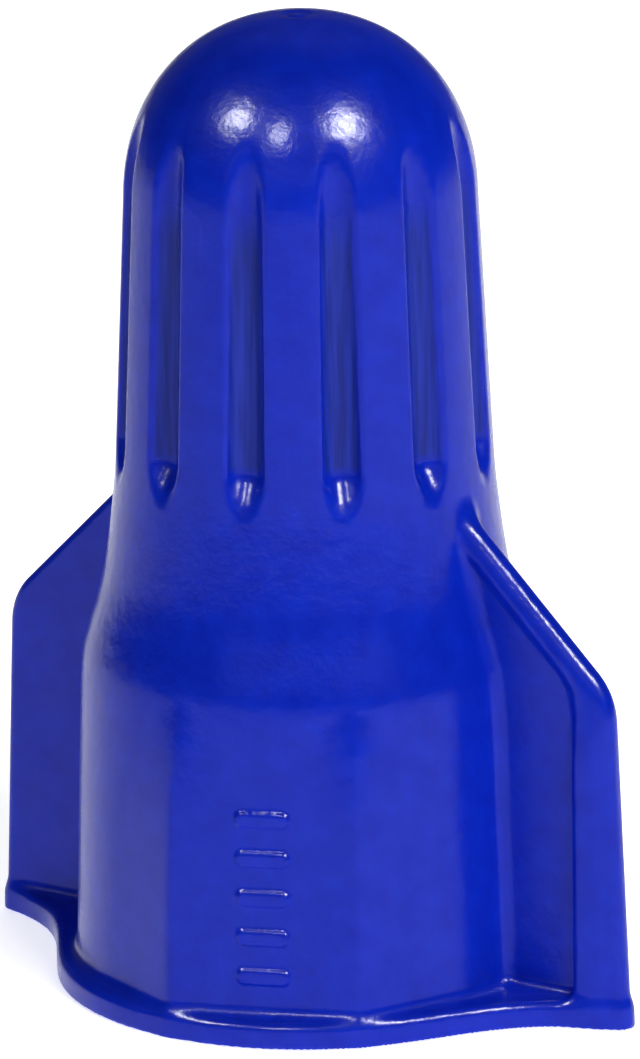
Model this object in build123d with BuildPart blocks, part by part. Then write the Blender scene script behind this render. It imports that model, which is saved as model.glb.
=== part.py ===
from build123d import *
from math import atan2, cos, degrees, radians, sin, sqrt, tan
import os

# Winged twist-on wire connector: a moulded insulating shell with a conical square-wire spring inside.
# The origin is at the centre of the open base, +Z points up the axis to the domed end, +X along one wing.

# Shell body: dome, fluted cone, flared shoulder and skirt
DOME_RADIUS = 6.55
DOME_CENTRE_Z = 31.5
CONE_TOP = (6.77, 30.2)  # radius and height where the dome's blend meets the cone
CONE_FOOT = (7.28, 20.2)
SHOULDER_MID = (8.35, 14.4)
SKIRT_TOP = (8.79, 12.0)
SKIRT_FOOT = (9.17, 0.0)

# Skirt ridges: two on each side between the wings, with flats running down to the round
RIDGE_SECTIONS = ((0.0, 9.96), (5.3, 9.72), (8.9, 9.48), (11.5, 9.10), (12.6, 8.5))  # height and ridge radius
RIDGE_ANGLES = (-91, -46)
FLAT_REACH = 27.0  # degrees from a ridge to where its flat has run below the round
FLAT_SINK = 0.15

# Flutes
FLUTE_COUNT = 12
FLUTE_RADIUS = 0.75
FLUTE_OFFSET = 0.10  # distance of the flute's own axis outside the cone's surface
FLUTE_FOOT_Z = 21.15
FLUTE_LENGTH = 18.0

# Wings
WEB_HALF = 0.45
WING_HEEL = (5.0, 0.6)  # the buried end of a wing: distance from the axis and half thickness
WING_HEEL_TRIM = 0.5
WING_REACH = 15.5  # of the untrimmed web
WING_DEPTH = 5.0  # of the side view's trim, past the root fillets
WING_FOOT_X = 14.3
WING_CORNER = (13.83, 13.07)
WING_RAMP_TOP = (6.9, 19.8)
WING_CORNER_ROUND = 2.2
ROOT_SECTIONS = (  # height, body radius beside the wing and root fillet radius
    (-0.5, 9.19, 1.1),
    (6.0, 8.98, 1.1),
    (11.5, 8.81, 1.1),
    (15.0, 8.17, 1.1),
    (17.5, 7.61, 1.1),
    (20.5, 7.26, 1.0),
)
ROOT_SINK = 0.12  # how deep the root fillets run inside the body
ROOT_TRIM = 9.0  # degrees by which a root fillet stops short of its deepest point
BEAD_STEP_X = 12.45
BEAD_HALF = 1.02
BEAD_TIP_HALF = 0.40
BEAD_CREST = 0.35  # width of the crest beside the step
BEAD_STEP_LEAN = 0.25
BEAD_SINK = 0.2
BEAD_SPAN = (0.5, 13.2)

# Foot flange
FLANGE_RADIUS = 9.98
FLANGE_HEIGHT = 1.0
LOBE_ROOT = (8.0, 3.27)
LOBE_END = (14.15, 0.38)
LOBE_TIP_X = 14.45
LOBE_FILLET = 3.0
FLANGE_EDGE_ROUND = 0.28

# Raised tick marks on one skirt facet
TICK_COUNT = 5
TICK_PITCH = 1.55
TICK_SIZE = (2.1, 0.62)
TICK_RELIEF = 0.12
TICK_SINK = 0.6
TICK_CENTRE_Z = 5.7
TICK_FACET_ANGLE = -68.5
TICK_FACET_REACH = 9.09

# Gate mark at the apex
GATE_DIMPLE_RADIUS = 1.6
GATE_DIMPLE_DEPTH = 0.14
GATE_NUB_RADIUS = 0.34
GATE_NUB_LENGTH = 1.0

# Inside of the shell
MOUTH_RADIUS = 7.6
MOUTH_DEPTH = 10.6
MOUTH_LEAD = 0.45
MOUTH_OVERRUN = 1.0  # of the cut below the base
LIP_RADIUS = 5.55
LIP_SPAN = (12.5, 13.1)
CHAMBER_FOOT = (6.25, 13.3)
CHAMBER_TOP = (3.55, 35.0)
RIB_COUNT = 8
RIB_DEPTH = 0.40
RIB_ANGLE = 9.0  # degrees
RIB_SINK = 0.3
RIB_OVERRUN = 0.1

# Spring
WIRE = 1.1
SPRING_CLEARANCE = 0.08
SPRING_PITCH = 2.0
SPRING_TURNS = 10
SPRING_FOOT_Z = 13.2  # underside of the mouth coil


def on_slope(low, high, z):
    """Radius at height z on the straight line through two (radius, height) points."""
    return low[0] + (high[0] - low[0]) * (z - low[1]) / (high[1] - low[1])


def round_point(radius, angle):
    """Point at that radius and angle in degrees about the axis."""
    return (radius * cos(radians(angle)), radius * sin(radians(angle)))


def dome_point(angle):
    """Point of the dome's half-section at an angle above its equator."""
    return (DOME_RADIUS * cos(radians(angle)), DOME_CENTRE_Z + DOME_RADIUS * sin(radians(angle)))


def root_arc(body_radius, fillet_radius):
    """Start, middle and end of the concave arc from the round body to the flat of a wing."""
    reach = body_radius - ROOT_SINK + fillet_radius
    centre_y = WEB_HALF + fillet_radius
    centre_x = sqrt(reach**2 - centre_y**2)
    start_angle = Vector(-centre_x, -centre_y).get_angle(Vector(0, -1)) - ROOT_TRIM
    arc = []
    for share in (1.0, 0.5, 0.0):
        turn = radians(start_angle * share)
        arc.append((centre_x - fillet_radius * sin(turn), centre_y - fillet_radius * cos(turn)))
    return arc


flute_foot = (on_slope(CONE_FOOT, CONE_TOP, FLUTE_FOOT_Z) + FLUTE_OFFSET, 0, FLUTE_FOOT_Z)
flute_axis = Plane(
    origin=flute_foot,
    x_dir=(0, 1, 0),
    z_dir=(CONE_TOP[0] - CONE_FOOT[0], 0, CONE_TOP[1] - CONE_FOOT[1]),
)


apex_z = DOME_CENTRE_Z + DOME_RADIUS
tick_normal = (cos(radians(TICK_FACET_ANGLE)), sin(radians(TICK_FACET_ANGLE)), 0)
tick_reach = TICK_FACET_REACH + TICK_RELIEF
tick_plane = Plane(
    origin=(tick_normal[0] * tick_reach, tick_normal[1] * tick_reach, TICK_CENTRE_Z),
    x_dir=(-tick_normal[1], tick_normal[0], 0),
    z_dir=tick_normal,
)

# the wire's centre runs on a cone parallel to the chamber wall
coil_foot_z = SPRING_FOOT_Z + WIRE / 2
coil_rise = SPRING_PITCH * SPRING_TURNS
coil_taper = degrees(atan2(CHAMBER_FOOT[0] - CHAMBER_TOP[0], CHAMBER_TOP[1] - CHAMBER_FOOT[1]))
corner_reach = WIRE / 2 * (1 + tan(radians(coil_taper)))
seat_radius = on_slope(CHAMBER_FOOT, CHAMBER_TOP, coil_foot_z) - RIB_DEPTH
coil_radius = seat_radius - SPRING_CLEARANCE - corner_reach


# ---- wing: one web with its root fillets, ramp and outer bead ----
with BuildPart() as wing:
    for height, body_radius, fillet_radius in ROOT_SECTIONS:
        upper = root_arc(body_radius, fillet_radius)
        lower = [(x, -y) for x, y in reversed(upper)]
        with BuildSketch(Plane.XY.offset(height)):
            with BuildLine():
                Line(WING_HEEL, upper[0])
                ThreePointArc(*upper)
                Line(upper[2], (WING_REACH, WEB_HALF))
                Line((WING_REACH, WEB_HALF), (WING_REACH, -WEB_HALF))
                Line((WING_REACH, -WEB_HALF), lower[0])
                ThreePointArc(*lower)
                Line(lower[2], (WING_HEEL[0], -WING_HEEL[1]))
                Line((WING_HEEL[0], -WING_HEEL[1]), WING_HEEL)
            make_face()
    loft()
    with BuildSketch(Plane.XY.offset(BEAD_SPAN[0])):
        with BuildLine():
            Polyline(
                (BEAD_STEP_X - BEAD_STEP_LEAN, -BEAD_SINK),
                (BEAD_STEP_X, -BEAD_HALF),
                (BEAD_STEP_X + BEAD_CREST, -BEAD_HALF),
                (WING_FOOT_X, -BEAD_TIP_HALF),
                (WING_FOOT_X, -BEAD_SINK),
                close=True,
            )
        make_face()
    extrude(amount=BEAD_SPAN[1] - BEAD_SPAN[0])
    with BuildSketch(Plane.XZ) as side:
        with BuildLine():
            Polyline(
                (WING_HEEL[0] + WING_HEEL_TRIM, 0),
                (WING_FOOT_X, 0),
                WING_CORNER,
                WING_RAMP_TOP,
                (WING_HEEL[0] + WING_HEEL_TRIM, WING_RAMP_TOP[1]),
                close=True,
            )
        make_face()
        fillet(side.vertices().sort_by(Axis.X)[-2], WING_CORNER_ROUND)
    extrude(amount=WING_DEPTH, both=True, mode=Mode.INTERSECT)

# ---- ridge pad: the three flats of one side, as a wedge that stands proud of the round skirt ----
with BuildPart() as ridge_pad:
    for height, ridge_radius in RIDGE_SECTIONS:
        round_radius = on_slope(SKIRT_FOOT, SKIRT_TOP, height)
        outline = [(0.0, 0.0), round_point(round_radius - FLAT_SINK, RIDGE_ANGLES[0] - FLAT_REACH)]
        outline += [round_point(ridge_radius, angle) for angle in RIDGE_ANGLES]
        outline += [round_point(round_radius - FLAT_SINK, RIDGE_ANGLES[1] + FLAT_REACH)]
        with BuildSketch(Plane.XY.offset(height)):
            Polygon(*outline, align=None)
    loft(ruled=True)

# ---- foot flange: a ring with one tapered lobe under each wing ----
with BuildPart() as flange:
    with BuildSketch() as foot:
        Circle(FLANGE_RADIUS)
        for side_sign in (1, -1):
            right, left = [
                [(x * side_sign, y * flip) for x, y in (LOBE_ROOT, LOBE_END)]
                for flip in (1, -1)
            ]
            with BuildLine():
                Line(left[0], left[1])
                ThreePointArc(left[1], (LOBE_TIP_X * side_sign, 0), right[1])
                Line(right[1], right[0])
                Line(right[0], left[0])
            make_face()
        roots = [v for v in foot.vertices() if abs(Vector(*v).length - FLANGE_RADIUS) < 0.01]
        fillet(roots, LOBE_FILLET)
    extrude(amount=FLANGE_HEIGHT)
    fillet(flange.edges().group_by(Axis.Z)[-1], FLANGE_EDGE_ROUND)

# ---- rib: a narrow sector between the chamber wall and the spring's seat ----
with BuildPart() as rib:
    with BuildSketch(Plane.XZ):
        with BuildLine():
            Polyline(
                (CHAMBER_FOOT[0] - RIB_DEPTH, LIP_SPAN[1] - RIB_OVERRUN),
                (CHAMBER_FOOT[0] + RIB_SINK, LIP_SPAN[1] - RIB_OVERRUN),
                (CHAMBER_TOP[0] + RIB_SINK, CHAMBER_TOP[1] + RIB_OVERRUN),
                (CHAMBER_TOP[0] - RIB_DEPTH, CHAMBER_TOP[1] + RIB_OVERRUN),
                close=True,
            )
        make_face()
    revolve(axis=Axis.Z, revolution_arc=RIB_ANGLE)

# ---- insulating shell ----
with BuildPart() as insulating_shell:
    # outer envelope of dome, cone, shoulder and skirt
    with BuildSketch(Plane.XZ):
        with BuildLine():
            Line((0, 0), SKIRT_FOOT)
            Line(SKIRT_FOOT, SKIRT_TOP)
            Spline(SKIRT_TOP, SHOULDER_MID, CONE_FOOT, tangents=[(-0.032, 1), (-0.052, 1)])
            Line(CONE_FOOT, CONE_TOP)
            Spline(CONE_TOP, dome_point(24), tangents=[(-0.052, 1), (-sin(radians(24)), cos(radians(24)))])
            ThreePointArc(dome_point(24), dome_point(57), dome_point(90))
            Line(dome_point(90), (0, 0))
        make_face()
    revolve(axis=Axis.Z)

    # ridged flats on both sides
    with PolarLocations(0, 2):
        add(ridge_pad.part)

    # flutes, each a straight groove along the cone with a ball foot
    with PolarLocations(0, FLUTE_COUNT, start_angle=180 / FLUTE_COUNT):
        with Locations(flute_axis):
            upright = (Align.CENTER, Align.CENTER, Align.MIN)
            Cylinder(FLUTE_RADIUS, FLUTE_LENGTH, align=upright, mode=Mode.SUBTRACT)
            Sphere(FLUTE_RADIUS, mode=Mode.SUBTRACT)

    # wings and foot flange
    with PolarLocations(0, 2):
        add(wing.part)
    add(flange.part)

    # gate mark: a shallow dimple with a small nub in it
    with Locations((0, 0, apex_z + GATE_DIMPLE_RADIUS - GATE_DIMPLE_DEPTH)):
        Sphere(GATE_DIMPLE_RADIUS, mode=Mode.SUBTRACT)
    with Locations((0, 0, apex_z)):
        Cylinder(GATE_NUB_RADIUS, GATE_NUB_LENGTH, align=(Align.CENTER, Align.CENTER, Align.MAX))

    # raised tick marks on the facet
    with BuildSketch(tick_plane):
        with GridLocations(0, TICK_PITCH, 1, TICK_COUNT):
            SlotOverall(*TICK_SIZE)
    extrude(amount=-TICK_SINK)

    # mouth bore, funnel, lip and conical chamber with its blind end
    with BuildSketch(Plane.XZ):
        with BuildLine():
            Polyline(
                (0, -MOUTH_OVERRUN),
                (MOUTH_RADIUS + MOUTH_LEAD + MOUTH_OVERRUN, -MOUTH_OVERRUN),
                (MOUTH_RADIUS, MOUTH_LEAD),
                (MOUTH_RADIUS, MOUTH_DEPTH),
                (LIP_RADIUS, LIP_SPAN[0]),
                (LIP_RADIUS, LIP_SPAN[1]),
                (CHAMBER_FOOT[0], LIP_SPAN[1]),
                CHAMBER_FOOT,
                CHAMBER_TOP,
                (0, CHAMBER_TOP[1]),
                close=True,
            )
        make_face()
    revolve(axis=Axis.Z, mode=Mode.SUBTRACT)

    # ribs along the chamber wall, with coned inner faces
    with PolarLocations(0, RIB_COUNT):
        add(rib.part)

# ---- conical spring of square wire ----
with BuildPart() as conical_spring:
    with BuildLine() as coil:
        Helix(SPRING_PITCH, coil_rise, coil_radius, center=(0, 0, coil_foot_z), cone_angle=-coil_taper)
    with BuildSketch(Plane(origin=coil.line @ 0, x_dir=(1, 0, 0), z_dir=coil.line % 0)):
        Rectangle(WIRE, WIRE)
    sweep(is_frenet=True)

insulating_shell.part.label = "insulating_shell"
os.makedirs("parts", exist_ok=True)
export_step(insulating_shell.part, "parts/insulating_shell.step")
conical_spring.part.label = "conical_spring"
export_step(conical_spring.part, "parts/conical_spring.step")
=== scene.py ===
import math

import bpy
import numpy as np
import openvdb
from mathutils import Matrix, Vector


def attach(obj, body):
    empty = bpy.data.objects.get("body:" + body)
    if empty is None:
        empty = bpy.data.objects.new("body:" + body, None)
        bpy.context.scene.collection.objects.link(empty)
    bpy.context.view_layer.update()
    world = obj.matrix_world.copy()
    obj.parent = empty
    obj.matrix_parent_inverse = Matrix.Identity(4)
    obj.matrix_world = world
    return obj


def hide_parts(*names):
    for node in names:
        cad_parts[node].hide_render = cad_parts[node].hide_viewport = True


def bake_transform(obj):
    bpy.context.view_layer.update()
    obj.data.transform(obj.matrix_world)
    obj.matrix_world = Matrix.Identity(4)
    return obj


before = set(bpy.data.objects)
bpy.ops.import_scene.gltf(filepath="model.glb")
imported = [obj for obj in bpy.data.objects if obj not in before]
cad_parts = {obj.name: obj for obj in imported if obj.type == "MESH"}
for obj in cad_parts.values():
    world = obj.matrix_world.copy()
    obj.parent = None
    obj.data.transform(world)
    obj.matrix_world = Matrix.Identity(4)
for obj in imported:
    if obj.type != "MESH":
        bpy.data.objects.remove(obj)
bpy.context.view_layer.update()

# The winged wire connector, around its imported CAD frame. Its lengths are in millimetres up to the meshes
# themselves, which are in metres, as the studio is. +Z is the axis towards the dome, +X runs along one wing.
MM = 0.001
VOXEL = 0.13
SHELL_SHARE = 0.28  # of the meshed faces that stay when flat stretches are thinned

# ---- the shell's outside ----
BODY_KNOTS = (  # height, radius of the round body, slope
    (0.0, 9.21, -0.035),
    (12.0, 8.79, -0.04),
    (12.7, 8.74, -0.10),
    (13.5, 8.61, -0.26),
    (14.5, 8.32, -0.31),
    (15.1, 8.13, -0.29),
    (16.6, 7.76, -0.17),
    (18.4, 7.50, -0.12),
    (20.6, 7.28, -0.052),
    (31.2, 6.76, -0.050),
)
RIDGE_KNOTS = (  # height, radius of the skirt's ridges, slope
    (0.0, 9.84, -0.02),
    (5.3, 9.67, -0.045),
    (8.9, 9.44, -0.10),
    (10.9, 9.16, -0.15),
    (13.2, 8.67, -0.22),
)
RIDGE_TOP = 13.2
RIDGE_ANGLES = (-91, -46)  # and the same half a turn on
RIDGE_ROUND = 0.16 / 9  # radians
DOME_CENTRE_Z = 30.85
DOME_RADIUS = 6.768
DOME_HEIGHT = 7.2
DOME_FULLNESS = 2.15  # 2 is an ellipse
DOME_JOIN_Z = 31.2

FLUTE_COUNT = 12
FLUTE_FOOT = (7.30, 21.75)  # radius and height where a flute's axis bends outward to its foot
FLUTE_FOOT_RUN = (0.70, -1.12)  # outward and up, from that bend
FLUTE_LEAN = -0.030
FLUTE_RADIUS = 0.75
FLUTE_SOFT = 0.24
LAND_SLOPE = -0.049  # of the lands between the flutes
LAND_FOOT_RADIUS = 8.29  # where that slope would meet height 0

WEB_HALF = 0.45
WEB_EDGE_ROUND = 0.36
WING_FOOT_X = 14.42
WING_SIDE_LEAN = 0.047
WING_CORNER = (13.88, 13.07)
WING_CORNER_SOFT = 0.75  # each soft length is the width over which a crease is rounded
RAMP_NORMAL = (0.697, 0.717)
ROOT_SOFT = 0.62

BEAD_STEP_X = 12.45
BEAD_CREST = (12.95, 1.00)
BEAD_FACE_NORMAL = (0.395, 0.919)
BEAD_STEP_SOFT = 0.45
BEAD_CREST_SOFT = 0.30
BEAD_ROOT = 0.3  # how deep the band runs into the web
BEAD_BLEND = 0.25
BEAD_FADE = (10.0, 14.0)  # heights between which the band thins to the ramp's rim
RIM_HALF = 0.66
RIM_WIDTH = 0.85
RIM_SOFT = 0.8

FLANGE_RADIUS = 9.98
FLANGE_HEIGHT = 1.0
FLANGE_ROUND = 0.34
FLANGE_SOFT = 0.55
LOBE_SLOPE = 0.47
LOBE_REACH = 7.03
LOBE_TIP_X = 14.44
LOBE_TIP_SOFT = 0.35
LOBE_SOFT = 2.6

TICK_ANGLE = -68.5
TICK_COUNT = 5
TICK_PITCH = 1.55
TICK_CENTRE_Z = 5.7
TICK_HALF_LENGTH = 0.74
TICK_RADIUS = 0.30
TICK_RELIEF = 0.11
TICK_ROOT = 8.0  # distance from the axis, inside the skirt's wall
TICK_TOP_SOFT = 0.15
TICK_BLEND = 0.12

GATE_DIMPLE_RADIUS = 1.6
GATE_DIMPLE_Z = 39.50
GATE_NUB_RADIUS = 0.34
GATE_NUB_TOP = 38.02
GATE_NUB_LENGTH = 1.2
GATE_NUB_BLEND = 0.08
SMALL_SOFT = 0.1

# ---- the shell's inside ----
MOUTH_RADIUS = 7.6
MOUTH_DEPTH = 10.6
MOUTH_LEAD = 0.45
LIP_RADIUS = 5.55
LIP_SPAN = (12.5, 13.1)
LIP_SOFT = 0.2
FUNNEL_SOFT = 0.5
CHAMBER_FOOT = (6.25, 13.3)
CHAMBER_TOP = (3.55, 35.0)
CHAMBER_TOP_SOFT = 0.6
RIB_COUNT = 8
RIB_DEPTH = 0.40
RIB_CENTRE_ANGLE = 4.5
RIB_HALF_ANGLE = 4.5
RIB_OVERRUN = 0.3  # below the chamber's foot, into the lip
RIB_SOFT = 0.12

# ---- the spring ----
WIRE = 1.1
WIRE_ROUND = 0.14
SPRING_FOOT_Z = 13.2
SPRING_PITCH = 2.0
SPRING_TURNS = 10
SPRING_CLEARANCE = 0.08


# ------------------------------------------------------------------ camera, floor and light

PHOTO_AZIMUTH = math.radians(33.4)
PHOTO_ELEVATION = math.radians(16.06)
PHOTO_ROLL = math.radians(0.89)
CAMERA_DISTANCE = 0.33156
CAMERA_LENS = 292.8
AIM_SIDEWAYS = 0.00054
AIM_HEIGHT = 0.0177

# brightness of the surroundings at (sine of elevation), ahead of the object and behind it
FRONT_LIGHT = ((-0.05, 0.5), (0.02, 0.06), (0.62, 0.06), (1.0, 0.05))
BACK_LIGHT = ((-1.0, 1.6), (0.30, 1.6), (0.45, 0.12), (1.0, 0.05))
SIDE_SPAN = (-0.90, -0.45)
SOFT_LAMPS = (  # name, azimuth, elevation, distance, size, watts
    ("left_glint", -26, 47, 0.35, (0.08, 0.06), 1.35),
    ("middle_glint", 16, 44, 0.35, (0.035, 0.06), 0.60),
    ("right_glint", 75, 46, 0.35, (0.09, 0.09), 2.40),
    ("front_strip", 33, 19, 0.43, (0.80, 0.05), 0.12),
    ("left_fill", -40, 35, 0.35, (0.15, 0.15), 0.06),
    ("right_fill", 68, 40, 0.35, (0.15, 0.15), 0.72),
)
SKY_LAMP = (0.38, 0.30, 0.42, 1.0)  # how far behind, height, size, watts
LAMP_AIM_Z = 0.02
FLOOR_HALF = 0.6
FLOOR_GAP = 0.00002  # under the object's foot


def look_along(azimuth, elevation):
    """Unit vectors from the object back to the viewer, and to the viewer's right."""
    back = Vector(
        (
            math.sin(azimuth) * math.cos(elevation),
            -math.cos(azimuth) * math.cos(elevation),
            math.sin(elevation),
        )
    )
    return back, Vector((math.cos(azimuth), math.sin(azimuth), 0.0))


def add_camera():
    """The photo's camera, fitted to the connector's outline."""
    back, right = look_along(PHOTO_AZIMUTH, PHOTO_ELEVATION)
    up = back.cross(right)
    turned_right = right * math.cos(PHOTO_ROLL) - up * math.sin(PHOTO_ROLL)
    turned_up = up * math.cos(PHOTO_ROLL) + right * math.sin(PHOTO_ROLL)
    aim = right * AIM_SIDEWAYS + Vector((0, 0, AIM_HEIGHT))
    data = bpy.data.cameras.new("camera")
    data.sensor_width = 36
    data.lens = CAMERA_LENS
    data.clip_start = 0.01
    camera = bpy.data.objects.new("camera", data)
    bpy.context.scene.collection.objects.link(camera)
    turn = Matrix((turned_right, turned_up, back)).transposed()
    camera.matrix_world = Matrix.Translation(aim + back * CAMERA_DISTANCE) @ turn.to_4x4()
    bpy.context.scene.camera = camera


def add_area_light(name, azimuth, elevation, distance, size, watts):
    """A soft rectangular lamp around the object. Azimuth 0 stands in front of it, on the -Y side."""
    data = bpy.data.lights.new(name, "AREA")
    data.shape = "RECTANGLE"
    data.size, data.size_y = size
    data.energy = watts
    lamp = bpy.data.objects.new(name, data)
    bpy.context.scene.collection.objects.link(lamp)
    back, _ = look_along(math.radians(azimuth), math.radians(elevation))
    lamp.location = Vector((0, 0, LAMP_AIM_Z)) + back * distance
    lamp.rotation_euler = (-back).to_track_quat("-Z", "Y").to_euler()
    # glints only mirror in the plastic, and fills only light it
    lamp.visible_diffuse = not name.endswith("glint")
    lamp.visible_glossy = not name.endswith("fill")


def add_world():
    """White behind the object and below, dark ahead and overhead, as in a light tent open at the front."""
    world = bpy.data.worlds.new("studio")
    bpy.context.scene.world = world
    world.use_nodes = True
    nodes, links = world.node_tree.nodes, world.node_tree.links
    direction = nodes.new("ShaderNodeTexCoord").outputs["Generated"]
    ahead = nodes.new("ShaderNodeVectorMath")
    ahead.operation = "DOT_PRODUCT"
    ahead.inputs[1].default_value = (math.sin(PHOTO_AZIMUTH), -math.cos(PHOTO_AZIMUTH), 0)
    links.new(direction, ahead.inputs[0])
    height = nodes.new("ShaderNodeSeparateXYZ")
    links.new(direction, height.inputs["Vector"])
    front = world_ramp(nodes, links, height.outputs["Z"], FRONT_LIGHT)
    back = world_ramp(nodes, links, height.outputs["Z"], BACK_LIGHT)
    side = nodes.new("ShaderNodeMapRange")
    side.interpolation_type = "SMOOTHSTEP"
    side.inputs["From Min"].default_value, side.inputs["From Max"].default_value = SIDE_SPAN
    links.new(ahead.outputs["Value"], side.inputs["Value"])
    mix = nodes.new("ShaderNodeMix")
    links.new(side.outputs["Result"], mix.inputs["Factor"])
    links.new(back, mix.inputs["A"])
    links.new(front, mix.inputs["B"])
    links.new(mix.outputs["Result"], nodes["Background"].inputs["Strength"])


def world_ramp(nodes, links, height, stops):
    """Brightness against the sine of the elevation, from (sine, brightness) stops."""
    place = nodes.new("ShaderNodeMapRange")
    place.inputs["From Min"].default_value = -1
    links.new(height, place.inputs["Value"])
    ramp_node = nodes.new("ShaderNodeValToRGB")
    elements = ramp_node.color_ramp.elements
    while len(elements) < len(stops):
        elements.new(0.5)
    for element, (sine, brightness) in zip(elements, stops):
        element.position = (sine + 1) / 2
        element.color = (brightness, brightness, brightness, 1)
    links.new(place.outputs["Result"], ramp_node.inputs["Fac"])
    return ramp_node.outputs["Color"]


def add_floor():
    """A plain pale floor, with a faint glow of its own that keeps it white round the object."""
    floor_mesh = bpy.data.meshes.new("floor")
    corners = [(-1, -1, 0), (1, -1, 0), (1, 1, 0), (-1, 1, 0)]
    floor_mesh.from_pydata([Vector(corner) * FLOOR_HALF for corner in corners], [], [(0, 1, 2, 3)])
    floor = bpy.data.objects.new("floor", floor_mesh)
    bpy.context.scene.collection.objects.link(floor)
    floor.location.z = -FLOOR_GAP
    material = bpy.data.materials.new("pale_floor")
    material.use_nodes = True
    surface = material.node_tree.nodes["Principled BSDF"]
    surface.inputs["Base Color"].default_value = (0.95, 0.95, 0.96, 1)
    surface.inputs["Roughness"].default_value = 0.8
    surface.inputs["Emission Color"].default_value = (1, 1, 1, 1)
    surface.inputs["Emission Strength"].default_value = 0.68
    floor_mesh.materials.append(material)


def add_sky_lamp():
    """A large lamp above and behind, facing straight down, that lights the floor."""
    ahead, _ = look_along(PHOTO_AZIMUTH, 0)
    behind, height, size, watts = SKY_LAMP
    data = bpy.data.lights.new("sky_lamp", "AREA")
    data.size, data.energy = size, watts
    lamp = bpy.data.objects.new("sky_lamp", data)
    bpy.context.scene.collection.objects.link(lamp)
    lamp.location = Vector((0, 0, height)) - ahead * behind
    lamp.visible_glossy = False


# ------------------------------------------------------------------ distance fields


def curve_through(z, knots):
    """Smooth curve through (height, value, slope) knots."""
    heights, values, slopes = np.array(knots).T
    i = np.clip(np.searchsorted(heights, z) - 1, 0, len(heights) - 2)
    span = heights[i + 1] - heights[i]
    t = np.clip((z - heights[i]) / span, 0, 1)
    low = (1 + 2 * t) * (1 - t) ** 2 * values[i] + t * (1 - t) ** 2 * span * slopes[i]
    high = t * t * (3 - 2 * t) * values[i + 1] + t * t * (t - 1) * span * slopes[i + 1]
    return low + high


def soft_max(a, b, soft):
    """The larger of two distances, with the crease between them rounded over about soft."""
    overlap = np.clip(soft - np.abs(a - b), 0, None) / soft
    return np.maximum(a, b) + overlap * overlap * soft / 4


def soft_min(a, b, soft):
    """The smaller of two distances, with the crease between them filled over about soft."""
    return -soft_max(-a, -b, soft)


def round_max(a, b, radius):
    """Where both are inside, with a true round of that radius along a square edge."""
    outside = np.hypot(np.clip(a + radius, 0, None), np.clip(b + radius, 0, None)) - radius
    return np.where((a > -radius) & (b > -radius), outside, np.maximum(a, b))


def body_distance(x, y, z):
    """Round skirt with flats rising to four ridges, shoulder, cone and dome."""
    body = curve_through(z, BODY_KNOTS)
    ridge = np.where(z < RIDGE_TOP, np.maximum(curve_through(z, RIDGE_KNOTS), body), body)
    lean = (curve_through(z + 0.05, BODY_KNOTS) - curve_through(z - 0.05, BODY_KNOTS)) / 0.1
    r, turn = np.hypot(x, y), np.arctan2(y, x)
    nearest = np.full(np.shape(turn), math.pi)
    for angle in RIDGE_ANGLES:
        away = np.mod(turn - math.radians(angle) + math.pi / 2, math.pi) - math.pi / 2
        nearest = np.minimum(nearest, np.abs(away))
    nearest = np.hypot(nearest, RIDGE_ROUND)
    half_span = np.arccos(np.clip(body / ridge, 0, 1))  # from a ridge to where its flat meets the round
    side = (r * np.cos(np.minimum(nearest - half_span, 0)) - body) / np.sqrt(1 + lean * lean)
    u = r / DOME_RADIUS
    w = np.abs((z - DOME_CENTRE_Z) / DOME_HEIGHT)
    p = DOME_FULLNESS
    level = (u**p + w**p) ** (1 / p) + 1e-6
    steep = np.hypot((u / level) ** (p - 1) / DOME_RADIUS, (w / level) ** (p - 1) / DOME_HEIGHT) + 1e-6
    dome = (level - 1) / steep
    return np.where(z > DOME_JOIN_Z, dome, side)


def flute_distance(x, y, z):
    """Round grooves along the cone, each bending outward at its foot."""
    sector = 2 * math.pi / FLUTE_COUNT
    r = np.hypot(x, y)
    turn = np.mod(np.arctan2(y, x), sector) - sector / 2
    across, outward = r * np.sin(turn), r * np.cos(turn) - FLUTE_FOOT[0]
    length = math.hypot(1, FLUTE_LEAN)
    lean_r, lean_z = FLUTE_LEAN / length, 1 / length
    rise = z - FLUTE_FOOT[1]
    along = np.clip(outward * lean_r + rise * lean_z, 0, None)
    upper = (outward - along * lean_r) ** 2 + (rise - along * lean_z) ** 2
    run_r, run_z = FLUTE_FOOT_RUN
    share = np.clip((outward * run_r + rise * run_z) / (run_r**2 + run_z**2), 0, 1)
    lower = (outward - share * run_r) ** 2 + (rise - share * run_z) ** 2
    return np.sqrt(np.minimum(upper, lower) + across**2) - FLUTE_RADIUS


def wing_outline(x, z):
    """Side view of both wings: a leaning outer edge and a ramp."""
    side = np.abs(x) + WING_SIDE_LEAN * z - WING_FOOT_X
    ramp = (np.abs(x) - WING_CORNER[0]) * RAMP_NORMAL[0] + (z - WING_CORNER[1]) * RAMP_NORMAL[1]
    return soft_max(side, ramp, WING_CORNER_SOFT)


def bead_distance(x, y, z, outline):
    """The thick outer band on one face of each wing, thinning to a rim along the ramp."""
    out = np.abs(x)
    t = np.clip((z - BEAD_FADE[0]) / (BEAD_FADE[1] - BEAD_FADE[0]), 0, 1)
    crest = BEAD_CREST[1] - (BEAD_CREST[1] - RIM_HALF) * t * t * (3 - 2 * t)
    proud = -y * np.sign(x)
    face = (out - BEAD_CREST[0]) * BEAD_FACE_NORMAL[0] + (proud - crest) * BEAD_FACE_NORMAL[1]
    step = soft_min(BEAD_STEP_X - out, -outline - RIM_WIDTH, RIM_SOFT)
    d = soft_max(soft_max(face, step, BEAD_STEP_SOFT), proud - crest, BEAD_CREST_SOFT)
    return soft_max(soft_max(d, -proud - BEAD_ROOT, SMALL_SOFT), outline, RIM_SOFT)


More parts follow.
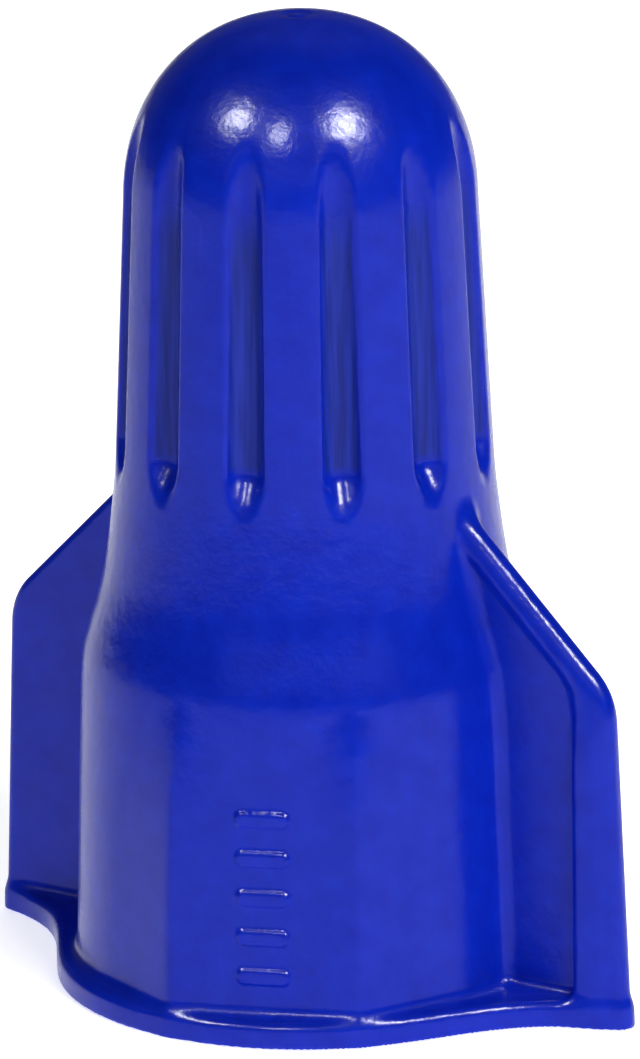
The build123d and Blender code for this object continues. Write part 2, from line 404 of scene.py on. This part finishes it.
def flange_distance(x, y, z):
    """The thin foot ring, with a pointed lobe under each wing."""
    lobe = (np.abs(y) + LOBE_SLOPE * np.abs(x) - LOBE_REACH) / math.hypot(1, LOBE_SLOPE)
    lobe = soft_max(lobe, np.abs(x) - LOBE_TIP_X, LOBE_TIP_SOFT)
    plan = soft_min(np.hypot(x, y) - FLANGE_RADIUS, lobe, LOBE_SOFT)
    return round_max(plan, z - FLANGE_HEIGHT, FLANGE_ROUND)


def tick_distance(x, y, z):
    """Plain raised tick marks on one flat."""
    turn = math.radians(TICK_ANGLE)
    across = -x * math.sin(turn) + y * math.cos(turn)
    depth = x * math.cos(turn) + y * math.sin(turn)
    level = (z - TICK_CENTRE_Z) / TICK_PITCH
    nearest = np.clip(np.round(level), -(TICK_COUNT // 2), TICK_COUNT // 2)
    past_end = np.clip(np.abs(across) - TICK_HALF_LENGTH, 0, None)
    plan = np.hypot(past_end, (level - nearest) * TICK_PITCH) - TICK_RADIUS
    top = curve_through(z, BODY_KNOTS) + TICK_RELIEF
    return soft_max(soft_max(plan, depth - top, TICK_TOP_SOFT), TICK_ROOT - depth, SMALL_SOFT)


def hollow_distance(x, y, z):
    """Mouth bore, funnel, lip and ribbed conical chamber."""
    r = np.hypot(x, y)
    fall = (MOUTH_RADIUS - LIP_RADIUS, LIP_SPAN[0] - MOUTH_DEPTH)
    size = math.hypot(*fall)
    funnel = (r - MOUTH_RADIUS) * fall[1] / size + (z - MOUTH_DEPTH) * fall[0] / size
    lead = (r - MOUTH_RADIUS - MOUTH_LEAD + z) * math.sqrt(0.5)
    mouth = np.maximum(soft_max(r - MOUTH_RADIUS, funnel, FUNNEL_SOFT), z - LIP_SPAN[0])
    mouth = np.minimum(mouth, np.maximum(lead, z - MOUTH_LEAD))
    lip = np.maximum(r - LIP_RADIUS, z - LIP_SPAN[1] - LIP_SOFT)
    lean = (CHAMBER_FOOT[0] - CHAMBER_TOP[0]) / (CHAMBER_TOP[1] - CHAMBER_FOOT[1])
    wall = (r - CHAMBER_FOOT[0] + lean * (z - CHAMBER_FOOT[1])) / math.hypot(1, lean)
    chamber = soft_max(np.maximum(wall, LIP_SPAN[1] - z), z - CHAMBER_TOP[1], CHAMBER_TOP_SOFT)
    sector = 2 * math.pi / RIB_COUNT
    turn = np.mod(np.arctan2(y, x) - math.radians(RIB_CENTRE_ANGLE) + sector / 2, sector) - sector / 2
    rib = np.maximum((np.abs(turn) - math.radians(RIB_HALF_ANGLE)) * r, -wall - RIB_DEPTH)
    rib = np.where(z > LIP_SPAN[1] - RIB_OVERRUN, rib, 1.0)
    chamber = soft_max(chamber, -rib, RIB_SOFT)
    return np.minimum(soft_min(mouth, lip, LIP_SOFT), chamber)


def shell_distance(x, y, z):
    """Signed distance to the moulded shell: below zero inside the plastic."""
    body = soft_max(body_distance(x, y, z), -flute_distance(x, y, z), FLUTE_SOFT)
    outline = wing_outline(x, z)
    web = round_max(np.abs(y) - WEB_HALF, outline, WEB_EDGE_ROUND)
    d = soft_min(body, web, ROOT_SOFT)
    d = soft_min(d, bead_distance(x, y, z, outline), BEAD_BLEND)
    d = soft_min(d, tick_distance(x, y, z), TICK_BLEND)
    d = soft_min(d, flange_distance(x, y, z), FLANGE_SOFT)
    r = np.hypot(x, y)
    dimple = np.sqrt(r * r + (z - GATE_DIMPLE_Z) ** 2) - GATE_DIMPLE_RADIUS
    d = soft_max(d, -dimple, SMALL_SOFT)
    half_nub = GATE_NUB_LENGTH / 2
    nub = soft_max(r - GATE_NUB_RADIUS, np.abs(z - GATE_NUB_TOP + half_nub) - half_nub, SMALL_SOFT)
    d = soft_min(d, nub, GATE_NUB_BLEND)
    d = soft_max(d, -hollow_distance(x, y, z), SMALL_SOFT)
    return soft_max(d, -z, SMALL_SOFT)


# ------------------------------------------------------------------ meshes


def mesh_object(name, points, faces):
    """A smooth-shaded mesh in the scene, from points in metres."""
    mesh = bpy.data.meshes.new(name)
    mesh.from_pydata(points, [], faces)
    mesh.validate()
    mesh.update()
    obj = bpy.data.objects.new(name, mesh)
    bpy.context.scene.collection.objects.link(obj)
    for polygon in mesh.polygons:
        polygon.use_smooth = True
    return obj


def shell_mesh():
    """Points and faces of the zero level of shell_distance, which is worked out slab by slab."""
    low = np.array([-14.9, -10.4, -0.4])
    high = np.array([14.9, 10.4, 38.5])
    counts = np.ceil((high - low) / VOXEL).astype(int)
    xs, ys, zs = [low[i] + VOXEL * np.arange(counts[i]) for i in range(3)]
    field = np.empty(counts, np.float32)
    slab = 16
    x, y = xs[:, None, None], ys[None, :, None]
    for k in range(0, counts[2], slab):
        z = zs[None, None, k : k + slab]
        field[:, :, k : k + slab] = np.clip(shell_distance(x, y, z), -3 * VOXEL, 3 * VOXEL)
    grid = openvdb.FloatGrid(3 * VOXEL)
    grid.copyFromArray(field)
    points, triangles, quads = grid.convertToPolygons(isovalue=0.0, adaptivity=0.0)
    points = (points * VOXEL + low) * MM
    return points, [tuple(map(int, t)) for t in triangles] + [tuple(map(int, q)) for q in quads]


def field_slope(points):
    """Gradient of shell_distance at an array of points."""
    step = 0.015
    slope = np.empty_like(points)
    for axis in range(3):
        shift = np.zeros(3)
        shift[axis] = step
        ahead, behind = points + shift, points - shift
        slope[:, axis] = (shell_distance(*ahead.T) - shell_distance(*behind.T)) / (2 * step)
    return slope


def settle_on_surface(obj):
    """Moves the vertices onto the exact zero level, and takes the shading normals from the field."""
    mesh = obj.data
    flat = np.empty(len(mesh.vertices) * 3, np.float32)
    mesh.vertices.foreach_get("co", flat)
    points = flat.reshape(-1, 3).astype(float) / MM
    for _ in range(2):
        slope = field_slope(points)
        size = np.clip((slope * slope).sum(axis=1), 0.25, None)
        move = slope * (shell_distance(*points.T) / size)[:, None]
        points -= np.clip(move, -0.5 * VOXEL, 0.5 * VOXEL)
    mesh.vertices.foreach_set("co", (points * MM).astype(np.float32).ravel())
    normals = field_slope(points)
    normals /= np.linalg.norm(normals, axis=1)[:, None] + 1e-9
    mesh.normals_split_custom_set_from_vertices(normals.tolist())
    mesh.update()


def thin(obj, share):
    """Collapses edges where the surface is flat, until that share of the faces is left."""
    modifier = obj.modifiers.new("thin", "DECIMATE")
    modifier.ratio = share
    flattened = obj.evaluated_get(bpy.context.evaluated_depsgraph_get())
    mesh = bpy.data.meshes.new_from_object(flattened)
    obj.modifiers.clear()
    obj.data = mesh


def spring_centre(share):
    """Point on the wire's centre line, from the mouth coil's end (0) to the small end (1)."""
    lean = (CHAMBER_FOOT[0] - CHAMBER_TOP[0]) / (CHAMBER_TOP[1] - CHAMBER_FOOT[1])
    foot_z = SPRING_FOOT_Z + WIRE / 2
    seat = CHAMBER_FOOT[0] - lean * (foot_z - CHAMBER_FOOT[1]) - RIB_DEPTH
    foot_radius = seat - SPRING_CLEARANCE - WIRE / 2 * (1 + lean)
    rise = SPRING_PITCH * SPRING_TURNS * share
    radius = foot_radius - lean * rise
    turn = 2 * math.pi * SPRING_TURNS * share
    return np.array([radius * math.cos(turn), radius * math.sin(turn), foot_z + rise])


def wire_section():
    """Outline of the square wire with rounded corners, as (outward, along the axis) pairs."""
    half, points = WIRE / 2 - WIRE_ROUND, []
    for corner in range(4):
        for step in range(4):
            turn = math.radians(90 * corner + 30 * step)
            side = math.radians(90 * corner + 45)
            points.append(
                (
                    half * math.copysign(1, math.cos(side)) + WIRE_ROUND * math.cos(turn),
                    half * math.copysign(1, math.sin(side)) + WIRE_ROUND * math.sin(turn),
                )
            )
    return points


def spring_mesh():
    """Sweeps the wire's section along the conical helix and closes both cut ends."""
    rings = SPRING_TURNS * 72
    section = wire_section()
    points, faces = [], []
    for ring in range(rings + 1):
        share = ring / rings
        centre = spring_centre(share)
        along = spring_centre(share + 0.0005) - spring_centre(share - 0.0005)
        along /= np.linalg.norm(along)
        outward = np.array([centre[0], centre[1], 0.0])
        outward -= along * outward.dot(along)
        outward /= np.linalg.norm(outward)
        upward = np.cross(outward, along)
        upward *= math.copysign(1, upward[2])
        points += [(centre + outward * a + upward * b) * MM for a, b in section]
    n = len(section)
    for ring in range(rings):
        for i in range(n):
            j = (i + 1) % n
            faces.append((ring * n + i, (ring + 1) * n + i, (ring + 1) * n + j, ring * n + j))
    faces.append(tuple(range(n)))
    faces.append(tuple(rings * n + i for i in reversed(range(n))))
    return points, faces


# ------------------------------------------------------------------ materials


def new_material(name):
    material = bpy.data.materials.new(name)
    material.use_nodes = True
    return material, material.node_tree.nodes, material.node_tree.links


def noise(nodes, links, coordinates, scale, detail=2.0, roughness=0.5):
    """Noise at so many waves per metre."""
    texture = nodes.new("ShaderNodeTexNoise")
    texture.inputs["Scale"].default_value = scale
    texture.inputs["Detail"].default_value = detail
    texture.inputs["Roughness"].default_value = roughness
    links.new(coordinates, texture.inputs["Vector"])
    return texture.outputs["Fac"]


def ramp(nodes, links, value, stops):
    """A colour ramp with (place, colour) stops."""
    node = nodes.new("ShaderNodeValToRGB")
    elements = node.color_ramp.elements
    while len(elements) < len(stops):
        elements.new(0.5)
    for element, (place, colour) in zip(elements, stops):
        element.position = place
        element.color = (*colour, 1)
    links.new(value, node.inputs["Fac"])
    return node.outputs["Color"]


def spread(nodes, links, value, low, high):
    """Maps 0..1 to low..high."""
    node = nodes.new("ShaderNodeMapRange")
    node.inputs["To Min"].default_value = low
    node.inputs["To Max"].default_value = high
    links.new(value, node.inputs["Value"])
    return node.outputs["Result"]


def bumped(nodes, links, height, distance, strength):
    """Shading normal for a height map of that depth in metres."""
    node = nodes.new("ShaderNodeBump")
    node.inputs["Distance"].default_value = distance
    node.inputs["Strength"].default_value = strength
    links.new(height, node.inputs["Height"])
    return node.outputs["Normal"]


def maths(nodes, links, operation, *values):
    """A maths node; each value is a socket or a number."""
    node = nodes.new("ShaderNodeMath")
    node.operation = operation
    for socket, value in zip(node.inputs, values):
        if isinstance(value, (int, float)):
            socket.default_value = value
        else:
            links.new(value, socket)
    return node.outputs["Value"]


def mixed(nodes, links, factor, a, b, kind):
    """Mixes two sockets: a where the factor is 0, b where it is 1."""
    node = nodes.new("ShaderNodeMix")
    node.data_type = kind
    low, high, result = [
        next(s for s in sockets if s.name == name and s.enabled)
        for sockets, name in ((node.inputs, "A"), (node.inputs, "B"), (node.outputs, "Result"))
    ]
    links.new(factor, node.inputs["Factor"])
    links.new(a, low)
    links.new(b, high)
    return result


def flute_mask(nodes, links, place):
    """1 down in the flutes, 0 on the lands and elsewhere."""
    parts = nodes.new("ShaderNodeSeparateXYZ")
    links.new(place, parts.inputs["Vector"])
    x, y, z = (parts.outputs[axis] for axis in "XYZ")
    y_squared = maths(nodes, links, "MULTIPLY", y, y)
    r = maths(nodes, links, "SQRT", maths(nodes, links, "MULTIPLY_ADD", x, x, y_squared))
    land = maths(nodes, links, "MULTIPLY_ADD", z, LAND_SLOPE, LAND_FOOT_RADIUS * MM)
    sunk = maths(nodes, links, "SUBTRACT", land, r)
    # each value, and where it starts and finishes being inside the matte part, in millimetres
    steps = ((sunk, 0.12, 0.30), (z, 21.6, 22.1), (z, 32.5, 30.0), (r, 5.4, 5.6))
    mask = 1.0
    for value, start, end in steps:
        step = nodes.new("ShaderNodeMapRange")
        step.interpolation_type = "SMOOTHSTEP"
        step.inputs["From Min"].default_value = start * MM
        step.inputs["From Max"].default_value = end * MM
        links.new(value, step.inputs["Value"])
        mask = maths(nodes, links, "MULTIPLY", step.outputs["Result"], mask)
    return mask


def shell_plastic():
    """Royal blue moulded plastic: glossy, mottled and finely dimpled, with matte streaks along the flutes."""
    material, nodes, links = new_material("shell_plastic")
    surface = nodes["Principled BSDF"]
    place = nodes.new("ShaderNodeTexCoord").outputs["Object"]
    mottle = noise(nodes, links, place, 900, 4.0, 0.6)
    matte = flute_mask(nodes, links, place)
    stretch = nodes.new("ShaderNodeMapping")
    stretch.inputs["Scale"].default_value = (1, 1, 0.04)
    links.new(place, stretch.inputs["Vector"])
    streaks = noise(nodes, links, stretch.outputs["Vector"], 5000, 2.0)
    colour = ramp(nodes, links, mottle, [(0.30, (0.0012, 0.015, 0.43)), (0.70, (0.0022, 0.022, 0.52))])
    streaked = ramp(nodes, links, streaks, [(0.35, (0.004, 0.016, 0.24)), (0.65, (0.010, 0.030, 0.40))])
    links.new(mixed(nodes, links, matte, colour, streaked, "RGBA"), surface.inputs["Base Color"])
    gloss = spread(nodes, links, noise(nodes, links, place, 400, 3.0), 0.18, 0.27)
    dull = spread(nodes, links, streaks, 0.34, 0.50)
    links.new(mixed(nodes, links, matte, gloss, dull, "FLOAT"), surface.inputs["Roughness"])
    peel = bumped(nodes, links, noise(nodes, links, place, 1900, 3.0, 0.6), 0.00003, 0.8)
    links.new(peel, surface.inputs["Normal"])
    surface.inputs["IOR"].default_value = 1.49
    surface.inputs["Specular IOR Level"].default_value = 0.19
    return material


def spring_steel():
    """Zinc-plated steel wire."""
    material, nodes, links = new_material("spring_steel")
    surface = nodes["Principled BSDF"]
    place = nodes.new("ShaderNodeTexCoord").outputs["Object"]
    cloud = noise(nodes, links, place, 700, 4.0, 0.6)
    colour = ramp(nodes, links, cloud, [(0.3, (0.50, 0.49, 0.46)), (0.7, (0.68, 0.67, 0.64))])
    links.new(colour, surface.inputs["Base Color"])
    surface.inputs["Metallic"].default_value = 1.0
    links.new(spread(nodes, links, cloud, 0.22, 0.42), surface.inputs["Roughness"])
    grain = bumped(nodes, links, noise(nodes, links, place, 5000, 3.0), 0.00001, 0.4)
    links.new(grain, surface.inputs["Normal"])
    return material


# ------------------------------------------------------------------ the scene

add_camera()
bpy.context.scene.view_settings.view_transform = "Standard"
add_world()
add_floor()
for lamp in SOFT_LAMPS:
    add_area_light(*lamp)
add_sky_lamp()

shell = mesh_object("moulded_shell", *shell_mesh())
thin(shell, SHELL_SHARE)
settle_on_surface(shell)
shell.data.materials.append(shell_plastic())
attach(shell, "shell")
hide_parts("insulating_shell")

spring = mesh_object("spring_coils", *spring_mesh())
spring.data.materials.append(spring_steel())
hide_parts("conical_spring")
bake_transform(spring)

for node, piece in (("insulating_shell", shell), ("conical_spring", spring)):
    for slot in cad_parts[node].material_slots:
        slot.material = piece.data.materials[0]
